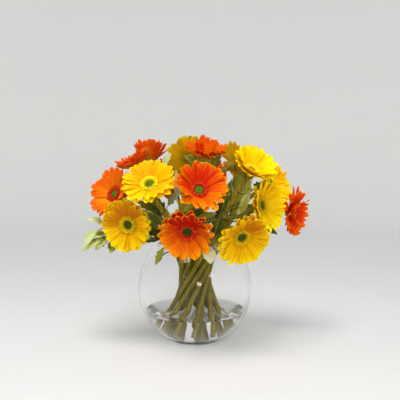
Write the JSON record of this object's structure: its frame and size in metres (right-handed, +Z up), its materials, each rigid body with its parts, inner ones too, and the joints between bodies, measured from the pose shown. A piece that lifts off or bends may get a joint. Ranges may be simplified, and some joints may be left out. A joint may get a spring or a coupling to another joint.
{
  "type": "gerbera daisies with foliage in a round glass bowl vase of water",
  "caption": "Cut gerbera daisies with leafy sprays, standing in a clear round glass bowl vase that is part filled with water.",
  "frame": {"origin": "centre of the bowl's flat base, on the surface that the bowl stands on", "axes": "+Z up, square to the flat base. -Y is the side that the front blooms face, and +X is to their right when seen from that side."},
  "size_m": [0.4002, 0.2992, 0.3659],
  "materials": {
    "clear_glass": "clear and polished",
    "clear_water": "clear still water",
    "petal_yellow": "soft satin petal, lemon yellow with a golden shade",
    "petal_orange": "soft satin petal, orange with red folds",
    "eye_green": "matt green disc of tiny florets",
    "stem_green": "satin olive green stem",
    "leaf_green": "satin leaf, dark green with pale edges"
  },
  "bodies": {
    "root": {"vase": "clear_glass", "water": "clear_water", "foliage_back": "leaf_green", "foliage_front": "leaf_green", "foliage_left": "leaf_green", "foliage_right": "leaf_green", "petals_upper_left": "petal_yellow", "petals_lower_left": "petal_yellow", "petals_lower_right": "petal_yellow", "petals_top_back": "petal_yellow", "petals_top_right_back": "petal_yellow", "petals_upper_right": "petal_yellow", "petals_right": "petal_yellow", "petals_high_right": "petal_yellow", "petals_back_low": "petal_yellow", "petals_centre": "petal_orange", "petals_lower_centre": "petal_orange", "petals_far_left": "petal_orange", "petals_top_left": "petal_orange", "petals_top_left_back": "petal_orange", "petals_top": "petal_orange", "petals_far_right": "petal_orange", "petals_back_left": "petal_orange", "petals_back_right": "petal_orange", "eye_upper_left": "eye_green", "eye_lower_left": "eye_green", "eye_lower_right": "eye_green", "eye_top_back": "eye_green", "eye_top_right_back": "eye_green", "eye_upper_right": "eye_green", "eye_right": "eye_green", "eye_high_right": "eye_green", "eye_back_low": "eye_green", "eye_centre": "eye_green", "eye_lower_centre": "eye_green", "eye_far_left": "eye_green", "eye_top_left": "eye_green", "eye_top_left_back": "eye_green", "eye_top": "eye_green", "eye_far_right": "eye_green", "eye_back_left": "eye_green", "eye_back_right": "eye_green", "stem_upper_left": "stem_green", "stem_lower_left": "stem_green", "stem_lower_right": "stem_green", "stem_top_back": "stem_green", "stem_top_right_back": "stem_green", "stem_upper_right": "stem_green", "stem_right": "stem_green", "stem_high_right": "stem_green", "stem_back_low": "stem_green", "stem_centre": "stem_green", "stem_lower_centre": "stem_green", "stem_far_left": "stem_green", "stem_top_left": "stem_green", "stem_top_left_back": "stem_green", "stem_top": "stem_green", "stem_far_right": "stem_green", "stem_back_left": "stem_green", "stem_back_right": "stem_green"}
  },
  "joints": []
}
